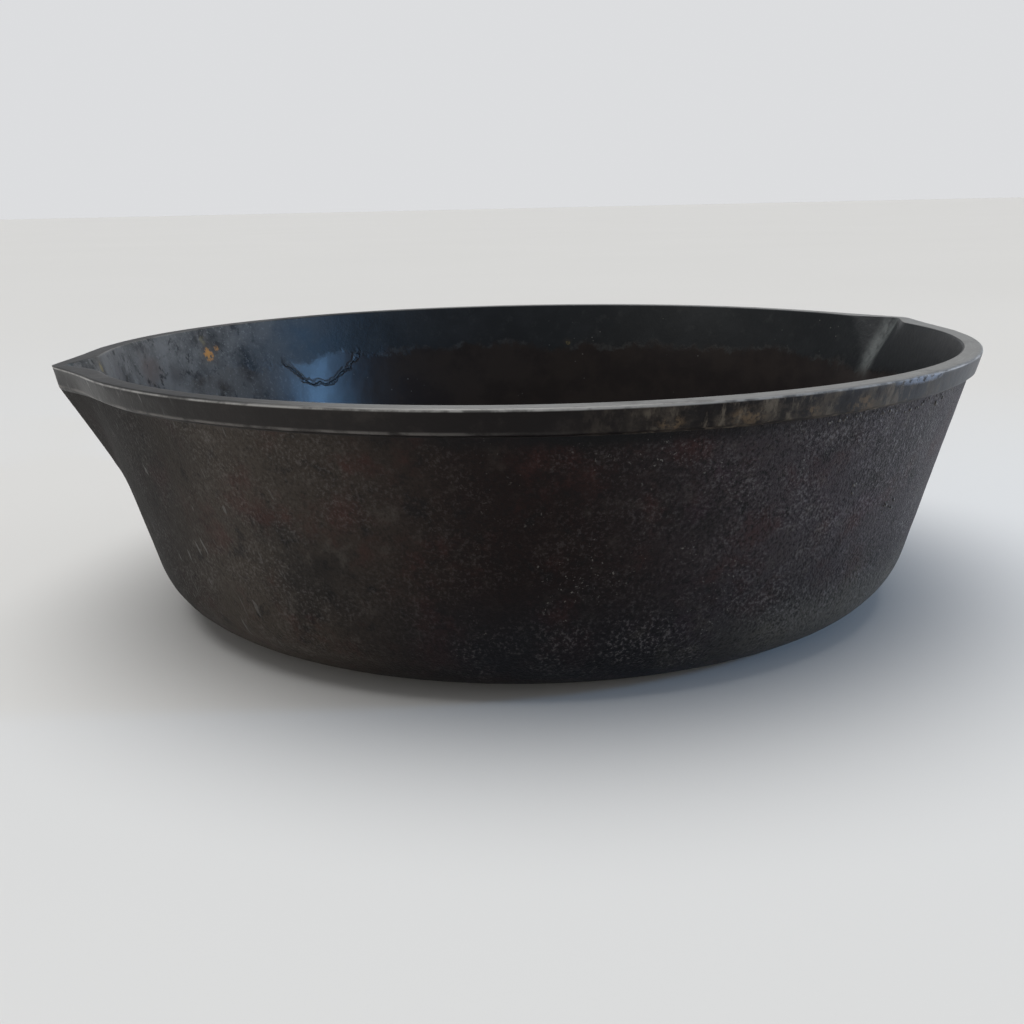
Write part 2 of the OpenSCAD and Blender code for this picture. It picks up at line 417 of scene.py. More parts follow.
def vectors(items, key):
    """Points or normals of a mesh as rows of an array."""
    flat = np.empty(len(items) * 3)
    items.foreach_get(key, flat)
    return flat.reshape(-1, 3)


pan_skin = baked(blank, spout_tree(), spout_sizes, "pan_skin")
skin = vectors(pan_skin.vertices, "co")
skin_normals = vectors(pan_skin.vertex_normals, "vector")
print("skin box", skin.min(0), skin.max(0))

# %% [markdown]
# ## Cutting the skin into the pan's parts
# Between an outside row and its inside partner lies a slab of iron. A part is a set of such slabs.
# Its skin faces come from the pan, and where a slab's neighbour belongs to another part, a hidden
# wall closes it. Each part is therefore a closed solid, and the joins are exact. Cutting with
# booleans would give the same parts with worse faces along the cuts.

# %% Which part each slab belongs to
SPOUT_DEPTH = RIDGE_DROP + 6 * mm
SPOUT_REACH_DEG = 15.0
heel_start, wall_start = FLOOR_ROWS - 1, FLOOR_ROWS + HEEL_ROWS - 1
band_start = FLOOR_ROWS + HEEL_ROWS + WALL_ROWS - 1
spout_start = int(np.argmax(np.array(outer_z) > PAN_H - SPOUT_DEPTH))
degrees = np.degrees(angles)
nearest = np.minimum(np.minimum(degrees, 360 - degrees), np.abs(180 - degrees))
owner = np.empty((ROWS, COLUMNS), int)
PARTS = ["cooking_floor", "heel", "side_wall", "rim_band", "right_pour_spout", "left_pour_spout"]
owner[:heel_start] = 0
owner[heel_start:wall_start] = 1
owner[wall_start:band_start] = 2
owner[band_start:] = 3
in_spout = nearest < SPOUT_REACH_DEG
in_spout &= np.roll(nearest, -1) < SPOUT_REACH_DEG
right_side = np.cos(angles) > 0
owner[spout_start:, in_spout & right_side] = 4
owner[spout_start:, in_spout & ~right_side] = 5


def inner(row):
    """Ring that lies inside an outer ring."""
    return RINGS - 1 - row


def part_faces(part):
    """Faces of one part, each with the skin it shows: outside, band, rim, inside or hidden."""
    found = []
    rows, columns = np.nonzero(owner == part)
    for i, j in zip(rows.tolist(), columns.tolist()):
        if i == ROWS - 1:
            found += [(strip(k, k + 1, j), "rim") for k in range(i, inner(i))]
            continue
        found.append((strip(i, i + 1, j), "band" if i >= band_start else "outside"))
        found.append((strip(inner(i + 1), inner(i), j), "inside"))
        if i == 0:
            found.append(((BASE_POLE, at(0, j + 1), at(0, j)), "outside"))
            found.append(((FLOOR_POLE, at(inner(0), j), at(inner(0), j + 1)), "inside"))
        if owner[i + 1, j] != part:
            found.append(((at(i + 1, j), at(i + 1, j + 1), at(inner(i + 1), j + 1),
                           at(inner(i + 1), j)), "hidden"))
        if i > 0 and owner[i - 1, j] != part:
            found.append(((at(inner(i), j), at(inner(i), j + 1), at(i, j + 1), at(i, j)), "hidden"))
        # The topmost slab's side wall takes in the ground rim above it
        rings = [i, *range(i + 1, inner(i + 1) + 1), inner(i)] if i == ROWS - 2 else (
            [i, i + 1, inner(i + 1), inner(i)])
        if owner[i, (j + 1) % COLUMNS] != part:
            found.append((tuple(at(k, j + 1) for k in reversed(rings)), "hidden"))
        if owner[i, j - 1] != part:
            found.append((tuple(at(k, j) for k in rings), "hidden"))
    return found


# %% [markdown]
# A slab in the table above runs from one row to the next, so the top row has no slab of its own:
# it carries the ground rim instead. The normals of the whole pan are then copied to each part.

# %% Make the parts' meshes
SKIN_SLOT = {"outside": 0, "band": 1, "rim": 1, "inside": 2, "hidden": 0}


def part_mesh(part, name):
    kinds = part_faces(part)
    used = sorted({v for face, _ in kinds for v in face})
    index = {v: k for k, v in enumerate(used)}
    mesh = bpy.data.meshes.new(name)
    mesh.from_pydata(skin[used].tolist(), [], [[index[v] for v in face] for face, _ in kinds])
    mesh.polygons.foreach_set("material_index", [SKIN_SLOT[kind] for _, kind in kinds])
    mesh.polygons.foreach_set("use_smooth", [kind != "hidden" for _, kind in kinds])
    mesh.update()
    normals = []
    for (face, kind), polygon in zip(kinds, mesh.polygons):
        flat = tuple(polygon.normal)
        normals += [flat if kind == "hidden" else tuple(skin_normals[v]) for v in face]
    mesh.normals_split_custom_set(normals)
    return mesh


def place(mesh, node, materials):
    """A finished piece of the pan, dressed, that stands for its CAD node."""
    piece = added(node + "_iron", mesh)
    for material in materials:
        mesh.materials.append(material)
    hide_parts(node)
    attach(piece, "root")
    solid = bmesh.new()
    solid.from_mesh(mesh)
    open_edges = sum(not e.is_manifold for e in solid.edges)
    volume = 1e6 * solid.calc_volume(signed=True)
    print(f"{node}: {len(solid.faces)} faces, {open_edges} open edges, {volume:.1f} cm3")
    solid.free()


# %% [markdown]
# ## Iron, skin by skin
# The pan is one metal with three finishes. Outside is the cast skin: sand grain under layers of
# burnt-on oil. The rim was ground flat and shows grey metal. Inside is the cooking side, smooth
# with seasoning, with a lifted flake, scoured patches and a few rust spots. Each finish is a
# stack of colour layers under simple masks: noise for what grew by chance, distance from a point
# for what happened in one place, and height above the base for what follows the shape.

# %% Helpers for shader nodes
class Paint(Wires):
    """Shader wiring on top of the math helpers: noises, masks and colour layers."""

    def __init__(self, name):
        self.material = bpy.data.materials.new(name)
        self.material.use_nodes = True
        super().__init__(self.material.node_tree)
        self.tree.nodes.clear()
        self.where = self.node("ShaderNodeTexCoord").outputs["Object"]
        self.x, self.y, self.z = self.split(self.where)
        self.bumps = None

    def vector(self, operation, *values):
        return self.node("ShaderNodeVectorMath", values, operation=operation).outputs

    def shifted(self, source, seed):
        """The same coordinates, moved on by a seed, so that each pattern has its own place."""
        return self.vector("ADD", source, (0.37 * seed, 0.61 * seed, 0.83 * seed))[0]

    def stretched(self, scale, turn=(0, 0, 0)):
        """Object coordinates in which a pattern is drawn out by a scale, then turned."""
        inputs = {"Vector": self.where, "Scale": scale, "Rotation": turn}
        return self.node("ShaderNodeMapping", inputs, vector_type="TEXTURE").outputs[0]

    def noise(self, grain, detail=3.0, roughness=0.55, seed=0.0, at=None):
        """Noise whose features are about `grain` metres wide."""
        source = self.shifted(self.where if at is None else at, seed)
        inputs = {"Vector": source, "Scale": 0.5 / grain, "Detail": detail, "Roughness": roughness}
        return self.node("ShaderNodeTexNoise", inputs).outputs[0]

    def cells(self, size, seed=0.0):
        """Distance to the nearest of many random points about `size` apart."""
        inputs = {"Vector": self.shifted(self.where, seed), "Scale": 1.0 / size}
        return self.node("ShaderNodeTexVoronoi", inputs).outputs["Distance"]

    def step(self, value, low, high):
        """0 below low, 1 above high, smooth between. With low above high it falls instead."""
        start, end = (1.0, 0.0) if low > high else (0.0, 1.0)
        inputs = {"Value": value, "From Min": min(low, high), "From Max": max(low, high),
                  "To Min": start, "To Max": end}
        return self.node("ShaderNodeMapRange", inputs, interpolation_type="SMOOTHSTEP").outputs["Result"]

    def distance(self, point, radius, ragged, seed, flat=(1, 1, 1)):
        """Distance from a point, wobbling by `ragged` times the radius."""
        offset = self.vector("SUBTRACT", self.where, point)[0]
        away = self.vector("LENGTH", self.vector("DIVIDE", offset, flat)[0])["Value"]
        wobble = self.sub(self.noise(radius * 0.35, 4.0, 0.6, seed), 0.5)
        return self.add(away, self.mul(wobble, radius * ragged))

    def near(self, point, radius, soft, ragged, seed, flat=(1, 1, 1)):
        """1 close to a point, 0 beyond radius, with a ragged border."""
        return self.step(self.distance(point, radius, ragged, seed, flat), radius, radius * (1 - soft))

    def bell(self, value, middle, width):
        """1 where value is at the middle, 0 further than `width` from it."""
        return self.step(self.math("ABSOLUTE", self.sub(value, middle)), width, 0.0)

    def layer(self, below, above, *masks):
        """Colour `above` laid over `below` where the product of the masks is 1."""
        a, b = (c if isinstance(c, bpy.types.NodeSocket) else (*c, 1.0) for c in (below, above))
        # A Mix node's colour sockets come after those for numbers and vectors
        return self.node("ShaderNodeMix", {0: self.mul(*masks), 6: a, 7: b}, data_type="RGBA").outputs[2]

    def blend(self, below, above, mask):
        """The same for numbers."""
        return self.add(self.mul(below, self.sub(1.0, mask)), self.mul(above, mask))

    def bump(self, height, depth, strength):
        """Relief of the given depth in metres on top of the relief so far."""
        inputs = {"Distance": depth, "Strength": strength, "Height": height}
        if self.bumps is not None:
            inputs["Normal"] = self.bumps
        self.bumps = self.node("ShaderNodeBump", inputs).outputs[0]

    def finish(self, colour, roughness, specular, metallic=0.0):
        inputs = {"Base Color": colour, "Roughness": roughness, "Metallic": metallic,
                  "Specular IOR Level": specular}
        if self.bumps is not None:
            inputs["Normal"] = self.bumps
        shader = self.node("ShaderNodeBsdfPrincipled", inputs)
        self.node("ShaderNodeOutputMaterial", {"Surface": shader.outputs[0]})
        print(self.material.name, "has", len(self.tree.nodes), "nodes")
        return self.material


def on_wall(top_r, degrees_round, drop):
    """Point on a wall face: degrees round from +X, and millimetres below the rim."""
    r, a = wall_r(top_r, PAN_H - drop * mm), math.radians(degrees_round)
    return (r * math.cos(a), r * math.sin(a), PAN_H - drop * mm)


# %% [markdown]
# ### The cast outside
# The wall is brown and fairly smooth on the left, a sooty red-black in the middle, and grey with
# a pebbled grain towards the right spout, where the oil has worn thin. Its light specks are the
# tops of sand grains, rubbed bare. Fine scratches run aslant beside the left spout. One number,
# `side`, tells every mask how far round the front it is.

# %% Cast skin material
FRONT_TURN = math.radians(-19)
SCRATCH_TURN = (0.0, math.radians(-24), 0.0)


def along_front(p):
    """0 at the left spout, 1 at the right spout, measured across the front of the pan."""
    across = p.add(p.mul(p.x, math.cos(FRONT_TURN)), p.mul(p.y, math.sin(FRONT_TURN)))
    return p.step(across, -RIM_R, RIM_R)


def cast_skin():
    p = Paint("cast_skin")
    side = along_front(p)
    drift = p.mul(p.sub(p.noise(22 * mm, 2.0, seed=1.0), 0.5), 0.5)
    grainy = p.step(p.add(side, drift), 0.30, 0.85)
    sooty = p.mul(p.step(side, 0.12, 0.42), p.step(side, 0.95, 0.6))
    pale = p.sub(1.0, p.mul(sooty, 0.68))
    clouds = p.noise(16 * mm, 5.0, 0.62, seed=4.0)
    mottle = p.noise(2.6 * mm, 5.0, 0.68, seed=11.0)
    # Three broad colours, then clouds of old oil and rust on top
    colour = p.layer((0.0330, 0.0262, 0.0205), (0.0062, 0.0023, 0.0018), p.step(side, 0.12, 0.48))
    colour = p.layer(colour, (0.038, 0.0310, 0.0345), p.step(side, 0.52, 0.95))
    colour = p.layer(colour, (0.050, 0.043, 0.036), p.step(clouds, 0.52, 0.76), 0.42, pale)
    colour = p.layer(colour, (0.004, 0.0036, 0.004), p.step(clouds, 0.48, 0.28), 0.6)
    colour = p.layer(colour, (0.062, 0.054, 0.047), p.step(mottle, 0.52, 0.70), 0.55, pale)
    colour = p.layer(colour, (0.003, 0.0027, 0.003), p.step(mottle, 0.46, 0.32), 0.7)
    rusty = p.noise(9 * mm, 6.0, 0.68, seed=9.0)
    colour = p.layer(colour, (0.036, 0.0105, 0.0085), p.step(rusty, 0.50, 0.72), 0.62)
    bruised = p.step(p.noise(13 * mm, 4.0, 0.6, seed=40.0), 0.56, 0.72)
    colour = p.layer(colour, (0.034, 0.017, 0.026), bruised, p.step(side, 0.4, 0.6), 0.6)
    # Painted shade darkens the wall at the left spout
    colour = p.layer(colour, (0.010, 0.0105, 0.0115), p.step(side, 0.14, 0.03), 0.75)
    # Painted shade makes the lower wall blacker and bluer, with scorched patches, and a painted highlight
    # lies along the heel on the right
    low = p.mul(p.step(p.z, 38 * mm, 12 * mm), p.step(side, 0.2, 0.45))
    colour = p.layer(colour, (0.0062, 0.0078, 0.0105), low, 0.72)
    scorched = p.mul(p.step(p.noise(10 * mm, 6.0, 0.68, seed=14.0), 0.5, 0.68), low)
    colour = p.layer(colour, (0.060, 0.054, 0.043), scorched, p.step(side, 0.45, 0.85), 0.7)
    # Painted highlight along the heel at the lower right
    heel = p.mul(p.step(p.z, 27 * mm, 11 * mm), p.step(side, 0.66, 0.92))
    colour = p.layer(colour, (0.098, 0.092, 0.078), heel, p.blend(0.45, 0.85, clouds))
    # Sand grain: fine everywhere, and coarse where the oil is thin
    fine = p.noise(0.38 * mm, 2.0, 0.55, seed=2.0)
    coarse = p.noise(0.44 * mm, 3.0, 0.68, seed=5.0)
    tops = p.mul(p.step(coarse, 0.52, 0.64), p.blend(0.40, 1.0, grainy))
    drifts = p.step(p.noise(8 * mm, 3.0, 0.6, seed=26.0), 0.34, 0.62)
    seen = p.math("MAXIMUM", pale, p.mul(low, 0.85))
    colour = p.layer(colour, (0.125, 0.116, 0.117), tops, 0.80, drifts, seen)
    pits = p.mul(p.step(coarse, 0.48, 0.38), p.blend(0.45, 1.0, grainy))
    colour = p.layer(colour, (0.002, 0.002, 0.0024), pits, 0.75)
    # Painted shadow: the wall is darkened just under the band's ledge
    band_shadow_mask = p.step(p.z, BAND_Z - 5.0 * mm, BAND_Z - 1.2 * mm)
    colour = p.layer(colour, (0.0022, 0.0024, 0.0030), band_shadow_mask, p.bell(side, 0.60, 0.42), 0.95)
    # Bare tops of single grains, in loose drifts
    bare = p.step(p.noise(0.42 * mm, 2.0, 0.6, seed=21.0), 0.64, 0.72)
    bare_drifts = p.step(p.noise(9 * mm, 4.0, 0.7, seed=17.0), 0.47, 0.66)
    flecks = p.mul(bare, bare_drifts, p.step(side, 0.3, 0.6))
    colour = p.layer(colour, (0.19, 0.18, 0.165), flecks, 0.75)
    # Slanted scratches beside the left spout
    streak = p.noise(0.8 * mm, 1.0, 0.5, seed=30.0, at=p.stretched((1, 1, 4.5), SCRATCH_TURN))
    beside_spout = p.mul(p.step(side, 0.26, 0.06), p.step(p.y, 0.0, -20 * mm))
    scratch = p.mul(p.step(streak, 0.70, 0.76), beside_spout)
    colour = p.layer(colour, (0.15, 0.15, 0.146), scratch, 0.5)
    p.bump(p.noise(5.5 * mm, 3.0, 0.55, seed=6.0), 0.5 * mm, 0.4)
    p.bump(p.mul(coarse, p.blend(0.25, 1.0, grainy)), 0.36 * mm, 1.0)
    p.bump(fine, 0.15 * mm, 0.8)
    p.bump(p.add(flecks, scratch), 0.10 * mm, 0.8)
    rough = p.add(p.blend(0.42, 0.55, grainy), p.mul(p.step(side, 0.16, 0.04), 0.3))
    rough = p.add(rough, p.mul(p.sub(clouds, 0.5), 0.3))
    return p.finish(colour, rough, specular=0.13)


# %% [markdown]
# ### The rim
# The top was ground on a wheel, so it is flat grey metal with fine arcs round the pan, darkened
# near the left spout. The upright face of the band is black with old oil in the middle and has
# worn to a mottled brown on the right, with a few tan spots. Its upper edge is lighter than its
# face. On the left its lower edge is a thin light line.

# %% Rim material
TAN_SPOTS = ((286, 7), (279, 4), (272, 6), (264, 4.5))


def ground_rim():
    p = Paint("ground_rim")
    side = along_front(p)
    # Arcs: a noise that changes fast across the land and slowly round it
    radius = p.root_of_squares(p.x, p.y)
    round_the_rim = p.join(p.mul(radius, 9.0), p.mul(p.x, 0.35), p.mul(p.y, 0.35))
    arcs = p.noise(1.6 * mm, 3.0, 0.6, seed=2.0, at=round_the_rim)
    stain = p.noise(5 * mm, 5.0, 0.65, seed=8.0)
    worn = p.noise(5 * mm, 6.0, 0.72, seed=3.0)
    specks = p.noise(0.9 * mm, 4.0, 0.7, seed=13.0)
    land = p.step(p.z, PAN_H - 0.45 * mm, PAN_H - 0.12 * mm)
    bared = p.step(side, 0.08, 0.3)
    metal = p.layer((0.016, 0.016, 0.0165), (0.225, 0.220, 0.208), p.step(side, 0.12, 0.42))
    metal = p.layer(metal, (0.36, 0.355, 0.34), p.step(arcs, 0.5, 0.72), 0.45, bared)
    metal = p.layer(metal, (0.075, 0.070, 0.065), p.step(stain, 0.5, 0.74), 0.55)
    metal = p.layer(metal, (0.06, 0.056, 0.052), p.step(specks, 0.56, 0.72), 0.4)
    # The upright face
    face = p.layer((0.0125, 0.0105, 0.0098), (0.0030, 0.0014, 0.0014), p.step(side, 0.15, 0.5))
    face = p.layer(face, (0.030, 0.032, 0.037), p.step(side, 0.74, 1.0))
    face = p.layer(face, (0.034, 0.028, 0.025), p.step(worn, 0.5, 0.75), 0.45)
    upright = p.noise(1.3 * mm, 4.0, 0.66, seed=23.0, at=p.stretched((1, 1, 3.0)))
    right = p.mul(p.step(side, 0.52, 0.74), p.step(side, 1.0, 0.9))
    face = p.layer(face, (0.062, 0.050, 0.038), p.step(worn, 0.42, 0.62), right, 0.75)
    face = p.layer(face, (0.125, 0.105, 0.080), p.step(upright, 0.5, 0.66), right, 0.6)
    face = p.layer(face, (0.006, 0.005, 0.005), p.step(upright, 0.46, 0.34), right, 0.7)
    for turn, width in TAN_SPOTS:
        spot = p.near(on_wall(RIM_R, turn, 4.4), width * mm, 0.85, 1.3, turn, flat=(1, 1, 0.5))
        face = p.layer(face, (0.135, 0.090, 0.050), spot, p.step(specks, 0.44, 0.6), 0.55)
    # Painted shade darkens the band's face at the left spout
    face = p.layer(face, (0.004, 0.004, 0.0045), p.step(side, 0.16, 0.03), 0.7)
    # Fine scratches on the left spout's face, and the light line along the lower edge
    scratches = p.noise(0.5 * mm, 2.0, 0.5, seed=37.0, at=p.stretched((1, 1, 9), SCRATCH_TURN))
    face = p.layer(face, (0.20, 0.20, 0.20), p.step(scratches, 0.64, 0.74), p.step(side, 0.12, 0.02), 0.6)
    foot_low = p.step(p.z, BAND_Z - 0.1 * mm, BAND_Z + 0.2 * mm)
    foot_high = p.step(p.z, BAND_Z + 1.0 * mm, BAND_Z + 0.5 * mm)
    foot = p.mul(foot_low, foot_high, p.step(side, 0.6, 0.3))
    face = p.layer(face, (0.105, 0.098, 0.092), foot, p.step(stain, 0.36, 0.56), 0.8)
    top_edge = p.step(p.z, PAN_H - 0.85 * mm, PAN_H - 0.45 * mm)
    edge_tone = p.layer((0.09, 0.088, 0.085), (0.30, 0.295, 0.285), p.step(stain, 0.38, 0.56))
    face = p.layer(face, edge_tone, top_edge, 0.9)
    # A cool bright scrape under the edge, near the right end
    scrape = p.near(on_wall(RIM_R, 295, 1.0), 13 * mm, 0.6, 0.7, 41.0, flat=(1, 1, 0.10))
    scrape = p.mul(scrape, p.step(specks, 0.36, 0.52))
    face = p.layer(face, (0.21, 0.25, 0.32), scrape, 0.6)
    p.bump(arcs, 0.03 * mm, 0.5)
    p.bump(p.noise(3 * mm, 4.0, 0.6, seed=6.0), 0.22 * mm, 0.5)
    p.bump(specks, 0.10 * mm, 0.6)
    p.bump(scrape, 0.35 * mm, 0.8)
    rough = p.blend(p.blend(0.38, 0.55, right), 0.42, land)
    return p.finish(p.layer(face, metal, land), rough, specular=0.17, metallic=p.mul(land, bared, 0.3))


# %% [markdown]
# ### The cooking side
# Polymerised oil lies on the iron like black lacquer. It is smoother and browner low down, where
# food is fried, and rougher and blue-black near the rim, where spatter bakes on dry. The border
# between the two is ragged. The left side is scoured grey. At the back a flake has lifted and
# curls at its edge, and rust shows in a few small spots.

# %% Seasoned cooking surface material
TIDE_Z = PAN_H - 16 * mm
orange, ochre = (0.52, 0.235, 0.055), (0.20, 0.155, 0.055)
# Degrees round, millimetres below the rim, size in millimetres, strength and colour
RUST = (
    (136.2, 9.0, 2.7, 1.0, orange), (133.9, 7.4, 1.3, 0.6, orange), (136.6, 4.0, 2.2, 0.35, ochre),
    (173, 2.8, 2.0, 0.75, ochre), (63, 15, 1.1, 0.35, ochre),
)
# Degrees round, millimetres below the rim, size in millimetres and colour
SCOURED_PATCHES = (
    (153, 9.5, 9, (0.105, 0.075, 0.062)), (165, 7, 6, (0.115, 0.105, 0.10)),
    (146, 13, 7, (0.080, 0.072, 0.066)),
)


def seasoned_iron():
    p = Paint("seasoned_iron")
    # The tide line between the dry film above and the smoother film below
    tide = p.noise(11 * mm, 6.0, 0.72, seed=3.0)
    level = p.add(p.z, p.mul(p.sub(tide, 0.5), 20 * mm))
    dry = p.step(level, TIDE_Z - 1.8 * mm, TIDE_Z + 1.8 * mm)
    edge = p.bell(level, TIDE_Z, 1.5 * mm)
    left = p.step(p.x, -0.030, -0.105)
    clouds = p.noise(9 * mm, 6.0, 0.66, seed=7.0)
    mottle = p.noise(2.2 * mm, 5.0, 0.68, seed=12.0)
    film = p.layer((0.0150, 0.0095, 0.0075), (0.0075, 0.0035, 0.0030), p.step(clouds, 0.42, 0.62))
    crust = p.layer((0.0038, 0.0055, 0.0072), (0.0085, 0.0105, 0.0125), p.step(clouds, 0.42, 0.66))
    colour = p.layer(film, crust, dry)
    colour = p.layer(colour, (0.026, 0.028, 0.028), p.step(mottle, 0.54, 0.74), dry, 0.45)
    # Painted highlight: a light line along the tide line, in patches
    tide_highlight_patches = p.step(p.noise(5 * mm, 5.0, 0.7, seed=22.0), 0.46, 0.62)
    colour = p.layer(colour, (0.052, 0.055, 0.055), edge, tide_highlight_patches, 0.42)
    # The left side is greyer, with scoured patches of bare brown and grey
    colour = p.layer(colour, (0.150, 0.143, 0.132), left, p.step(clouds, 0.30, 0.60), 0.85)
    salt = p.step(p.noise(0.6 * mm, 3.0, 0.7, seed=44.0), 0.55, 0.68)
    colour = p.layer(colour, (0.26, 0.255, 0.24), salt, left, 0.45)
    rubbed_patches = p.step(p.noise(5 * mm, 6.0, 0.7, seed=15.0), 0.44, 0.62)
    scoured = p.mul(rubbed_patches, p.step(p.x, -0.070, -0.112))
    colour = p.layer(colour, (0.19, 0.178, 0.163), scoured, 0.75)
    for turn, drop, size, tint in SCOURED_PATCHES:
        patch = p.near(on_wall(BORE_TOP_R, turn, drop), size * mm, 0.9, 1.2, turn)
        colour = p.layer(colour, tint, patch, 0.75)
    colour = p.layer(colour, (0.004, 0.004, 0.0045), p.step(mottle, 0.45, 0.34), left, 0.85)
    # One flake has lifted: its curled edge runs like a U below the glint
    flake = p.distance(on_wall(BORE_TOP_R, 112, 11), 15 * mm, 0.55, 51.0, flat=(1.12, 1.12, 0.95))
    hangs = p.step(p.z, PAN_H - 12 * mm, PAN_H - 16 * mm)
    torn = p.mul(hangs, p.step(p.noise(4 * mm, 3.0, 0.6, seed=57.0), 0.28, 0.44))
    curl_shadow = p.mul(p.bell(flake, 15.5 * mm, 0.62 * mm), torn)
    lip_highlight = p.mul(p.bell(flake, 14.7 * mm, 0.7 * mm), torn)
    # Painted shadow under the curled edge, and a painted highlight on its lip
    colour = p.layer(colour, (0.0015, 0.0015, 0.002), curl_shadow, 0.8)
    colour = p.layer(colour, (0.045, 0.055, 0.065), lip_highlight, 0.5)
    for turn, drop, size, strength, tint in RUST:
        halo = p.near(on_wall(BORE_TOP_R, turn, drop), size * 2.4 * mm, 0.9, 1.2, turn + 1)
        spot = p.near(on_wall(BORE_TOP_R, turn, drop), size * mm, 0.5, 1.6, turn)
        crumbs = p.step(p.noise(0.8 * mm, 3.0, 0.6, seed=turn), 0.38, 0.52)
        colour = p.layer(colour, (0.060, 0.042, 0.026), halo, 0.6 * strength)
        colour = p.layer(colour, tint, spot, crumbs, strength)
    specks = p.step(p.cells(3.2 * mm, seed=33.0), 0.11, 0.05)
    speck_drifts = p.step(p.noise(15 * mm, seed=2.0), 0.5, 0.62)
    colour = p.layer(colour, (0.16, 0.16, 0.15), specks, speck_drifts, 0.6)
    # Painted highlight: a light streak down the middle of each pouring channel
    in_spout = p.step(p.math("ABSOLUTE", p.x), 0.1215, 0.1255)
    middle = p.step(p.math("ABSOLUTE", p.y), 5.5 * mm, 1.5 * mm)
    channel_highlight_streaks = p.noise(2.4 * mm, 5.0, 0.65, seed=24.0, at=p.stretched((1, 1, 3.5)))
    colour = p.layer(colour, (0.120, 0.130, 0.128), in_spout, middle, p.step(channel_highlight_streaks, 0.30, 0.60), 0.75)
    grain = p.noise(0.7 * mm, 3.0, 0.6, seed=5.0)
    p.bump(p.noise(7 * mm, 4.0, 0.6, seed=8.0), 0.35 * mm, 0.4)
    p.bump(p.mul(grain, p.blend(0.12, 1.0, dry)), 0.14 * mm, 0.7)
    p.bump(dry, 0.10 * mm, 0.6)
    p.bump(p.sub(lip_highlight, curl_shadow), 0.16 * mm, 0.7)
    rough = p.add(p.blend(0.32, 0.44, dry), p.mul(scoured, 0.15))
    rough = p.add(rough, p.mul(p.sub(clouds, 0.5), 0.2))
    return p.finish(colour, rough, specular=0.30)


# %% [markdown]
# ### The handle
# Hands polish a handle, so its edges are a little lighter than the rest of it.

# %% Handle material
def handle_iron():
    p = Paint("handle_iron")
    clouds = p.noise(8 * mm, 5.0, 0.62, seed=4.0)
    rusty = p.noise(5 * mm, 6.0, 0.7, seed=9.0)
    colour = p.layer((0.018, 0.016, 0.0155), (0.036, 0.031, 0.028), p.step(clouds, 0.45, 0.72))
    colour = p.layer(colour, (0.070, 0.040, 0.024), p.step(rusty, 0.6, 0.76), 0.6)
    tips = p.step(p.cells(1.2 * mm, seed=3.0), 0.4, 0.15)
    colour = p.layer(colour, (0.085, 0.08, 0.078), tips, 0.25)
    # Wear is stored on the mesh: how far each point stands out from its neighbours
    wear = p.node("ShaderNodeAttribute", attribute_name="wear").outputs["Fac"]
    colour = p.layer(colour, (0.105, 0.100, 0.095), p.step(wear, 0.25, 0.8), p.step(clouds, 0.35, 0.6), 0.6)
    p.bump(p.noise(3.5 * mm, 3.0, 0.55, seed=6.0), 0.3 * mm, 0.5)
    p.bump(p.noise(0.6 * mm, 3.0, 0.6, seed=2.0), 0.12 * mm, 0.8)
    p.bump(tips, 0.1 * mm, 0.5)
    rough = p.add(0.45, p.mul(p.sub(clouds, 0.5), 0.4))
    return p.finish(colour, rough, specular=0.5)


OUTSIDE, RIM, COOKING, GRIP = cast_skin(), ground_rim(), seasoned_iron(), handle_iron()

# %% Place the pan's parts
for number, part_name in enumerate(PARTS):
    place(part_mesh(number, part_name), part_name, [OUTSIDE, RIM, COOKING])

# %% [markdown]
# ## The handle
# The handle is a bar whose width changes along its length: wide where it flares out of the wall,
# narrow in the grip, and round at the end. A loft through rounded sections gives that. The
# hanging hole and the thumb recess are cut out of it. A voxel remesh and a light smoothing then
# round every edge by the same small amount, as a sand mould does, and the first sections are
# bent to the wall's own curve and flared, so that the root grows out of the pan with a fillet.

# %% Handle sections
ROOT_W = node_size("handle_root").x
EYE_W = node_size("hanging_eye").x
FALL = math.radians(2.4)
ROOT_T = 21 * mm
SHANK_T = 9.5 * mm
SHANK_W = 23 * mm
NECK_W = SHANK_W + 3 * mm
ROOT_LEN = 32 * mm
HANG_R, HANG_TIP_R, HANG_SPAN = 8 * mm, 3 * mm, 17 * mm
HANDLE_TOP = PAN_H - 7.5 * mm
HANDLE_LEN = (HANDLE_END - RIM_R) / math.cos(FALL)
EYE_Y = HANDLE_LEN - EYE_W / 2
NECK_Y = EYE_Y - HANG_SPAN - HANG_R - 3 * mm
FILLET = 6 * mm
ROOT_SINK = 2.2 * mm
CROWN = 0.6 * mm


def ease(u):
    return (1 - math.cos(math.pi * u)) / 2


def handle_w(y):
    """Width of the handle at distance y from the rim."""
    if y < ROOT_LEN:
        return SHANK_W + (ROOT_W - SHANK_W) * (1 - max(y, 0) / ROOT_LEN) ** 2
    if y < NECK_Y:
        return SHANK_W + (NECK_W - SHANK_W) * ease((y - ROOT_LEN) / (NECK_Y - ROOT_LEN))
    if y < EYE_Y:
        return NECK_W + (EYE_W - NECK_W) * ease((y - NECK_Y) / (EYE_Y - NECK_Y))
    return 2 * math.sqrt(max((EYE_W / 2) ** 2 - (y - EYE_Y) ** 2, 0))


def handle_t(y):
    """Depth of the handle at distance y from the rim."""
    if y < ROOT_LEN:
        return SHANK_T + (ROOT_T - SHANK_T) * (1 - max(y, 0) / ROOT_LEN) ** 2
    return SHANK_T


SECTION_POINTS = 48


